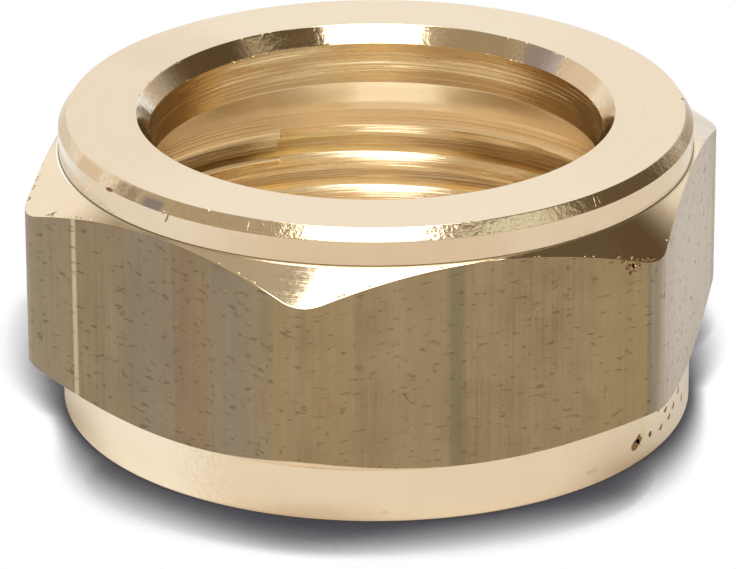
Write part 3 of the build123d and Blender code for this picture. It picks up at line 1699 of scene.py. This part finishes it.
@dataclass
class Studio:
    """Pale floor, two large soft lamps overhead, a pale room with a dark ceiling, and the camera.

    Directions are given as the camera sees them: right, away and up. A reach is how far from the
    nut its painted shadow goes, in millimetres: before it, behind it and beside it. A Span is where a
    change starts and where it is complete. Round is in degrees to the right of straight ahead, up
    is in degrees above the horizon, and distant_ends is in metres from the nut's axis.
    """

    camera_distance: float = 309.24
    camera_azimuth: float = 18.57
    camera_elevation: float = 23.02
    camera_roll: float = -0.197
    aim_height: float = 6.72
    aim_right: float = -0.412
    aim_up: float = -0.855
    clip_start: float = 0.01
    clip_end: float = 50.0
    focal_pixels: float = 6130.36
    picture_width: int = 736
    sensor_width: float = 36.0
    lamp_height: float = 500.0
    lamps: tuple[Lamp, ...] = (
        Lamp("overhead", -0.36, 0.38, -1.1, 0.108, 3.85),
        Lamp("front", -0.56, 0.22, -2.2, -0.72, 2.2),
    )
    floor_size: float = 6000.0
    floor_roughness: float = 0.9
    floor_colour: Colour = (0.78, 0.78, 0.78)
    shadow_colour: Colour = (0.065, 0.062, 0.07)
    reach_before: float = 3.4
    reach_behind: float = 7.6
    reach_most: float = 6.5
    reach_aside: float = 1.0
    reach_left: float = 0.2
    lean: float = 0.2
    left_ends: Span = (-0.25, -0.8)
    right_ends: Span = (-0.05, -1.0)
    shadow_fall: float = 2.5
    darkest_cover: float = 0.4
    cover_samples: int = 8
    mirrored_colour: Colour = (0.82, 0.82, 0.82)
    # Painted light: the floor's colour under the nut, seen only in reflections
    painted_light_under_nut: Colour = (1.0, 0.98, 0.94)
    distant_colour: Colour = (0.8, 0.78, 0.76)
    enclosed_reach: float = 30.0
    enclosed_ends: Span = (0.3, 0.42)
    distant_ends: Span = (0.1, 0.3)
    room_level: float = 1.04
    ceiling_colour: Colour = (0.14, 0.106, 0.068)
    left_colour: Colour = (0.50, 0.45, 0.37)
    front_colour: Colour = (0.76, 0.74, 0.65)
    low_colour: Colour = (0.48, 0.36, 0.22)
    left_side: Span = (-0.05, -0.25)
    front_round: Span = (94.0, 112.0)
    front_up: Span = (48.0, 43.0)
    behind_left: Span = (-84.0, -60.0)
    behind_right: Span = (66.0, 24.0)
    behind_up: Span = (42.0, 30.0)
    low_round: Span = (95.0, 110.0)
    low_up: Span = (37.0, 30.0)
    horizon_up: Span = (0.0, 12.0)

    @property
    def right(self) -> Vector:
        """Direction to the camera's right, on the floor."""
        angle = math.radians(self.camera_azimuth)
        return Vector((math.cos(angle), -math.sin(angle), 0.0))

    @property
    def away(self) -> Vector:
        """Direction away from the camera, on the floor."""
        angle = math.radians(self.camera_azimuth)
        return Vector((math.sin(angle), math.cos(angle), 0.0))

    def camera(self) -> None:
        """Places the camera where the photograph was taken from."""
        up = Vector((0.0, 0.0, 1.0))
        rise = math.radians(self.camera_elevation)
        forward = self.away * math.cos(rise) - up * math.sin(rise)
        head = self.right.cross(forward)
        centre = up * self.aim_height
        place = centre - forward * self.camera_distance
        aim = centre + self.right * self.aim_right + head * self.aim_up
        forward = (aim - place).normalized()
        side = forward.cross(up).normalized()
        head = side.cross(forward)
        roll = math.radians(self.camera_roll)
        tilted = side * math.cos(roll) + head * math.sin(roll)
        head = head * math.cos(roll) - side * math.sin(roll)
        data = bpy.data.cameras.new("camera")
        data.sensor_width = self.sensor_width
        data.lens = self.focal_pixels / self.picture_width * self.sensor_width
        data.clip_start = self.clip_start
        data.clip_end = self.clip_end
        made = object_from("camera", data)
        turn = Matrix((tilted, head, -forward)).transposed().to_4x4()
        made.matrix_world = Matrix.Translation(place * MM) @ turn
        bpy.context.scene.camera = made

    def hang(self, lamp: Lamp) -> None:
        """Hangs a soft lamp over the nut.

        Args:
            lamp: the lamp.
        """
        height = self.lamp_height
        wide = (lamp.right - lamp.left) * height * MM
        deep = (lamp.far - lamp.near) * height * MM
        data = bpy.data.lights.new(lamp.name, "AREA")
        data.shape = "RECTANGLE"
        data.size = wide
        data.size_y = deep
        data.energy = lamp.radiance * math.pi * wide * deep
        made = object_from(lamp.name, data)
        sideways = (lamp.right + lamp.left) / 2 * height
        onwards = (lamp.far + lamp.near) / 2 * height
        made.location = (self.right * sideways + self.away * onwards + Vector((0, 0, height))) * MM
        made.rotation_euler = (0.0, 0.0, math.radians(-self.camera_azimuth))

    def floor(self) -> None:
        """Lays the floor. The camera sees it glow white, with a painted shadow where the nut covers it; in
        reflections near the nut it is lit, and painted paler under the nut.
        """
        half = self.floor_size / 2 * MM
        corners = [(-half, -half, 0), (half, -half, 0), (half, half, 0), (-half, half, 0)]
        mesh = bpy.data.meshes.new("floor")
        mesh.from_pydata(corners, [], [(0, 1, 2, 3)])
        made, tree, shader = new_material("Pale floor")
        rays = tree.nodes.new("ShaderNodeLightPath")
        mirrored = Value(tree, rays.outputs["Is Glossy Ray"])
        # Painted light: in reflections, the floor under the nut, which the nut shades, gets a paler colour
        # than the floor round it
        outside = self._bare(tree, self.enclosed_reach * MM).ramp(*self.enclosed_ends)
        reflected = blended(tree, outside, self.painted_light_under_nut, self.mirrored_colour)
        feed(tree, shader.inputs["Base Color"], blended(tree, mirrored, self.floor_colour, reflected))
        shader.inputs["Roughness"].default_value = self.floor_roughness
        shader.inputs["Specular IOR Level"].default_value = 0.0
        x, y, _ = separated(tree, tree.nodes.new("ShaderNodeTexCoord").outputs["Object"])
        out = (x * x + y * y).math("SQRT")
        # Painted shadow: the camera sees the floor glow white, darkened by how much the nut covers it within
        # a reach that changes round the nut
        reach = self._reach(x, y, out) * MM
        bare = (self._bare(tree, reach) - self.darkest_cover) / (1.0 - self.darkest_cover)
        bare = bare.clamped().math("POWER", self.shadow_fall)
        seen = Value(tree, rays.outputs["Is Camera Ray"])
        glow = tree.nodes.new("ShaderNodeEmission")
        painted_shadow = blended(tree, bare, self.shadow_colour, (1.0, 1.0, 1.0))
        feed(tree, glow.inputs["Color"], blended(tree, seen, self.distant_colour, painted_shadow))
        mix = tree.nodes.new("ShaderNodeMixShader")
        distant = mirrored * out.ramp(*self.distant_ends)
        feed(tree, mix.inputs[0], seen.math("MAXIMUM", distant))
        tree.links.new(shader.outputs[0], mix.inputs[1])
        tree.links.new(glow.outputs[0], mix.inputs[2])
        tree.links.new(mix.outputs[0], tree.nodes["Material Output"].inputs["Surface"])
        mesh.materials.append(made)
        floor = object_from("floor", mesh)

    def _reach(self, x: Value, y: Value, out: Value) -> Value:
        """Gives how far the nut's painted shadow goes, which changes round the nut.

        Args:
            x: place on the floor along X.
            y: place on the floor along Y.
            out: distance from the nut's axis.

        Returns:
            The reach, in millimetres.
        """
        ahead = (x * self.away.x + y * self.away.y) / out
        left = (x * self.right.x + y * self.right.y) / out * -0.5 + 0.5
        beyond = ahead.math("MAXIMUM", 0.0)
        leaning = (ahead + self.lean).math("MAXIMUM", 0.0) * self.reach_behind
        behind = left * leaning + (1.0 - left) * beyond * self.reach_behind
        on_left, on_right = ahead.ramp(*self.left_ends), ahead.ramp(*self.right_ends)
        before = (left * on_left + (1.0 - left) * on_right) * self.reach_before
        reach = before + left * self.reach_left + self.reach_aside
        return (reach + behind).math("MINIMUM", self.reach_most)

    def _bare(self, tree: bpy.types.NodeTree, reach: Value | float) -> Value:
        """Measures how much of the floor's view upwards is free of the nut.

        Args:
            tree: the floor's tree.
            reach: how far away the nut still counts, in metres.

        Returns:
            1 where the nut covers nothing.
        """
        cover = tree.nodes.new("ShaderNodeAmbientOcclusion")
        cover.samples = self.cover_samples
        feed(tree, cover.inputs["Distance"], reach)
        return Value(tree, cover.outputs["AO"])

    def room(self) -> None:
        """Lights the room: pale near the horizon, dark overhead, and white behind for the camera."""
        world = bpy.data.worlds.new("room")
        bpy.context.scene.world = world
        world.use_nodes = True
        tree = world.node_tree
        tree.nodes.clear()
        direction = tree.nodes.new("ShaderNodeTexCoord").outputs["Generated"]
        x, y, z = separated(tree, direction)
        right = x * self.right.x + y * self.right.y
        away = x * self.away.x + y * self.away.y
        rise = z.math("ARCSINE").math("DEGREES")
        around = right.math("ARCTAN2", away).math("DEGREES")
        front = around.ramp(*self.front_round) * rise.ramp(*self.front_up)
        behind = around.ramp(*self.behind_left) * around.ramp(*self.behind_right)
        behind = behind * rise.ramp(*self.behind_up)
        low = around.math("ABSOLUTE").ramp(*self.low_round) * rise.ramp(*self.low_up)
        level = blended(tree, right.ramp(*self.left_side), self.ceiling_colour, self.left_colour)
        level = blended(tree, front, level, self.front_colour)
        level = blended(tree, low, level, self.low_colour)
        pale = (self.room_level,) * 3
        horizon = blended(tree, rise.ramp(*self.horizon_up), self.distant_colour, pale)
        level = blended(tree, behind, level, horizon)
        seen = Value(tree, tree.nodes.new("ShaderNodeLightPath").outputs["Is Camera Ray"])
        background = tree.nodes.new("ShaderNodeBackground")
        feed(tree, background.inputs["Color"], blended(tree, seen, level, (1.0, 1.0, 1.0)))
        output = tree.nodes.new("ShaderNodeOutputWorld")
        tree.links.new(background.outputs[0], output.inputs[0])

    def build(self) -> None:
        """Sets the whole studio up."""
        self.camera()
        for lamp in self.lamps:
            self.hang(lamp)
        self.floor()
        self.room()
        bpy.context.scene.view_settings.view_transform = "Standard"


VIOLET = (0.42, 0.36, 0.42)
TAN = (0.62, 0.43, 0.25)
BROWN = (0.30, 0.19, 0.09)
YELLOW = (0.36, 0.27, 0.13)
RUST = (0.27, 0.165, 0.095)
GREY = (0.27, 0.235, 0.19)
BRONZE = (0.5, 0.36, 0.2)

# Heights in millimetres between which a patch of tarnish or painted light lies on each surface
FACE = (15.0, 16.0)
EDGE = (14.6, 15.3)
COLLAR = (13.0, 15.3)
CONE = (11.0, 13.7)
BOSS = (-1.0, 3.0)
SINK = (14.4, 15.4)
BORE = (12.0, 15.0)
SEAT = (9.0, 12.5)
WALL = (9.0, 11.0)

# Raggedness of a patch, tarnish or painted light, with a smooth edge
SMOOTH = 0.1

FINISHES = (
    Finish("Turned face", (0.865, 0.725, 0.535), (0.84, 0.69, 0.49), roughness=0.2, grain=0.1,
           ring_height=0.0006, stains_and_painted_light=(
               # Painted shade: the tan patches at 160 and 345 darken the top face's left and right sides
               StainOrPaintedLight(160.0, 60.0, *FACE, TAN, 0.2),
               StainOrPaintedLight(122.0, 16.0, *FACE, TAN, 0.12),
               StainOrPaintedLight(345.0, 60.0, *FACE, TAN, 0.12))),
    Finish("Turned edge", (0.88, 0.72, 0.50), (0.66, 0.49, 0.29), roughness=0.1, dent_fineness=3.0,
           dent_height=0.026, stains_and_painted_light=(
               StainOrPaintedLight(188.0, 6.0, *EDGE, TAN, 0.8),
               StainOrPaintedLight(201.0, 4.0, *EDGE, BROWN, 0.45),
               StainOrPaintedLight(208.2, 3.0, 14.6, 15.15, (0.33, 0.31, 0.42), 0.7),
               StainOrPaintedLight(316.0, 10.0, *EDGE, TAN, 0.45),
               # Painted highlight: a pale patch on the bevel, right of its front
               StainOrPaintedLight(283.0, 16.0, *EDGE, (1.0, 0.9, 0.64), 0.6),
               # Painted reflection: the bevel's right side is painted dark brown, standing in for the dark
               # room that it mirrors
               StainOrPaintedLight(337.0, 14.0, *EDGE, (0.38, 0.235, 0.1), 0.9))),
    # Painted shade: the collar's base colour is darker than that of the other turned surfaces
    Finish("Turned collar", (0.79, 0.66, 0.48), (0.65, 0.51, 0.34), roughness=0.16, stains_and_painted_light=(
        # Painted reflection: the collar's front is tinted warm tan
        StainOrPaintedLight(252.0, 30.0, *COLLAR, TAN, 0.4),
        # Painted light: these two pale patches make the collar's left side paler
        StainOrPaintedLight(155.0, 34.0, *COLLAR, (1.0, 0.96, 0.88), 0.95, raggedness=SMOOTH),
        StainOrPaintedLight(182.0, 50.0, *COLLAR, (0.95, 0.88, 0.77), 0.25, raggedness=SMOOTH))),
    Finish("Turned cone", (0.88, 0.73, 0.52), (0.76, 0.59, 0.38), roughness=0.05,
           ring_height=0.0001, dent_height=0.0006, stains_and_painted_light=(
               # Painted reflection: a narrow peach-tan strip on the cone's front-left
               StainOrPaintedLight(203.0, 6.0, 11.5, 13.6, TAN, 0.3),
               StainOrPaintedLight(304.0, 12.0, *CONE, TAN, 0.45),
               # Painted light: the cone by the right corner is painted paler
               StainOrPaintedLight(356.0, 14.0, *CONE, (1.0, 0.93, 0.8), 0.7))),
    DrawnFlat(bands=(
        Band(210.0, -7.6, 3.4, (0.33, 0.29, 0.23), 0.4),
        Band(210.0, -5.62, 0.3, (0.72, 0.61, 0.44), 0.9),
        Band(210.0, 0.5, 14.0, (0.24, 0.2, 0.16), 0.35),
        Band(210.0, -0.5, 2.6, GREY, 0.35),
        Band(210.0, 1.9, 1.5, RUST, 0.35),
        Band(210.0, 3.0, 0.4, BROWN, 0.4),
        Band(210.0, 5.2, 3.4, GREY, 0.35),
        Band(210.0, 8.1, 1.6, YELLOW, 0.5),
        Band(270.0, -7.8, 2.0, YELLOW, 0.4),
        Band(270.0, -6.2, 0.4, BROWN, 0.3),
        Band(270.0, -3.5, 3.4, (0.38, 0.29, 0.165), 0.5),
        Band(270.0, -1.25, 0.8, (0.2, 0.18, 0.115), 0.55),
        Band(270.0, 7.1, 3.4, YELLOW, 0.5),
        Band(270.0, 8.95, 0.9, (0.2, 0.145, 0.08), 0.85),
        # The flat facing 330 is paler all over, and Wear gives it fewer dashes and beads
        Band(330.0, 0.0, 18.0, (0.7, 0.64, 0.57), 0.62),
    )),
    Finish("Turned boss", (0.84, 0.715, 0.53), (0.745, 0.61, 0.43), roughness=0.2, stains_and_painted_light=(
        # Painted light: the boss's front-left is painted paler
        StainOrPaintedLight(196.0, 30.0, *BOSS, (0.95, 0.86, 0.71), 0.8),
        StainOrPaintedLight(324.0, 20.0, *BOSS, (0.93, 0.83, 0.68), 0.5),
        StainOrPaintedLight(293.1, 1.8, 0.75, 0.95, TAN, 0.5),
        StainOrPaintedLight(252.7, 0.7, 0.5, 0.62, TAN, 0.6))),
    Finish("Countersink", (0.86, 0.69, 0.46), (0.64, 0.47, 0.27), roughness=0.09, dent_fineness=3.0,
           dent_height=0.009, stains_and_painted_light=(
               StainOrPaintedLight(44.0, 13.0, *SINK, BRONZE, 0.45),
               StainOrPaintedLight(24.0, 9.0, *SINK, VIOLET, 0.6),
               StainOrPaintedLight(8.0, 12.0, *SINK, TAN, 0.75),
               StainOrPaintedLight(110.0, 22.0, *SINK, BRONZE, 0.45),
               StainOrPaintedLight(146.0, 7.0, *SINK, TAN, 0.5),
               # Painted light: the countersink's left side is painted pale
               StainOrPaintedLight(166.0, 20.0, *SINK, (1.0, 0.95, 0.84), 0.9))),
    Finish("Bored wall", (0.88, 0.68, 0.40), (0.78, 0.54, 0.27), roughness=0.24, grain=0.8,
           ring_fineness=14.0, ring_height=0.006, stains_and_painted_light=(
               # Painted highlight: the bore's far middle is painted pale gold, and paler still a little to
               # its left
               StainOrPaintedLight(76.0, 62.0, *BORE, (1.0, 0.82, 0.51), 0.95),
               StainOrPaintedLight(100.0, 22.0, *BORE, (1.0, 0.95, 0.74), 0.5),
               # Painted shade: the bore's left and right sides are painted dark brown
               StainOrPaintedLight(150.0, 30.0, *BORE, (0.56, 0.37, 0.155), 0.8),
               StainOrPaintedLight(4.0, 32.0, *BORE, (0.56, 0.38, 0.18), 0.8))),
    # Painted light: the seat's base colour is paler than that of the other turned surfaces
    Finish("Olive cone", (0.845, 0.77, 0.63), (0.79, 0.70, 0.53), roughness=0.22, grain=0.3, stains_and_painted_light=(
        # Painted highlight: a near-white patch on the far side of the seat
        StainOrPaintedLight(66.0, 15.0, 9.9, 12.5, (1.0, 0.97, 0.9), 0.9, raggedness=SMOOTH),
        # Painted shade: the seat's left and right sides are painted darker
        StainOrPaintedLight(128.0, 36.0, *SEAT, (0.64, 0.49, 0.31), 0.5, raggedness=SMOOTH),
        StainOrPaintedLight(14.0, 36.0, *SEAT, (0.64, 0.48, 0.29), 0.55, raggedness=SMOOTH))),
    # Painted light: the thread's base colour is brighter and more golden than that of the other turned
    # surfaces
    Finish("Thread", (0.96, 0.77, 0.47), (0.90, 0.68, 0.37), roughness=0.18, grain=0.6,
           ring_height=0.02, stains_and_painted_light=(
               StainOrPaintedLight(70.0, 600.0, *WALL, (0.95, 0.68, 0.36), 1.0),
               # Painted shade: the wall under the seat is painted dark at its left (120) and right (22)
               StainOrPaintedLight(120.0, 40.0, *WALL, (0.56, 0.4, 0.2), 0.75, raggedness=SMOOTH),
               StainOrPaintedLight(22.0, 34.0, 9.0, 9.8, (0.62, 0.42, 0.2), 0.25, raggedness=SMOOTH),
               # Painted highlight: pale patches on the far thread (72 and 84)
               StainOrPaintedLight(72.0, 20.0, 3.0, 8.9, (1.0, 0.88, 0.68), 0.5, raggedness=SMOOTH),
               # Painted shade: the grooves to the left (114) and right (34) are painted dark brown
               StainOrPaintedLight(114.0, 26.0, 7.4, 8.8, (0.3, 0.19, 0.08), 0.72, raggedness=SMOOTH),
               StainOrPaintedLight(84.0, 18.0, 8.0, 8.6, (1.0, 0.86, 0.48), 0.6, raggedness=SMOOTH),
               StainOrPaintedLight(34.0, 24.0, 7.3, 8.5, (0.5, 0.33, 0.15), 0.75, raggedness=SMOOTH))),
    Finish("Pits", (0.31, 0.2, 0.1), (0.19, 0.115, 0.05), roughness=0.45, grain=0.0),
    Finish("Dashes", (0.365, 0.285, 0.155), (0.28, 0.215, 0.115), roughness=0.45, grain=0.0),
    Finish("Nicks", (0.86, 0.71, 0.48), (0.70, 0.54, 0.33), roughness=0.2, grain=0.0),
)


def main() -> None:
    """Builds the studio and the nut."""
    logging.basicConfig(level=logging.INFO, format="%(message)s")
    Studio().build()
    sizes = NutSizes.from_frame()
    materials = [finish.material() for finish in FINISHES]
    body = NutBody(sizes, Thread(sizes), BoreMarks(sizes), Wear(sizes))
    nut = body.piece(materials)
    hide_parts(NODE)
    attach(nut, BODY)
    log.info("%s: %d points, %d triangles", nut.name, len(nut.data.vertices),
             sum(len(face.vertices) - 2 for face in nut.data.polygons))


if __name__ == "__main__":
    main()
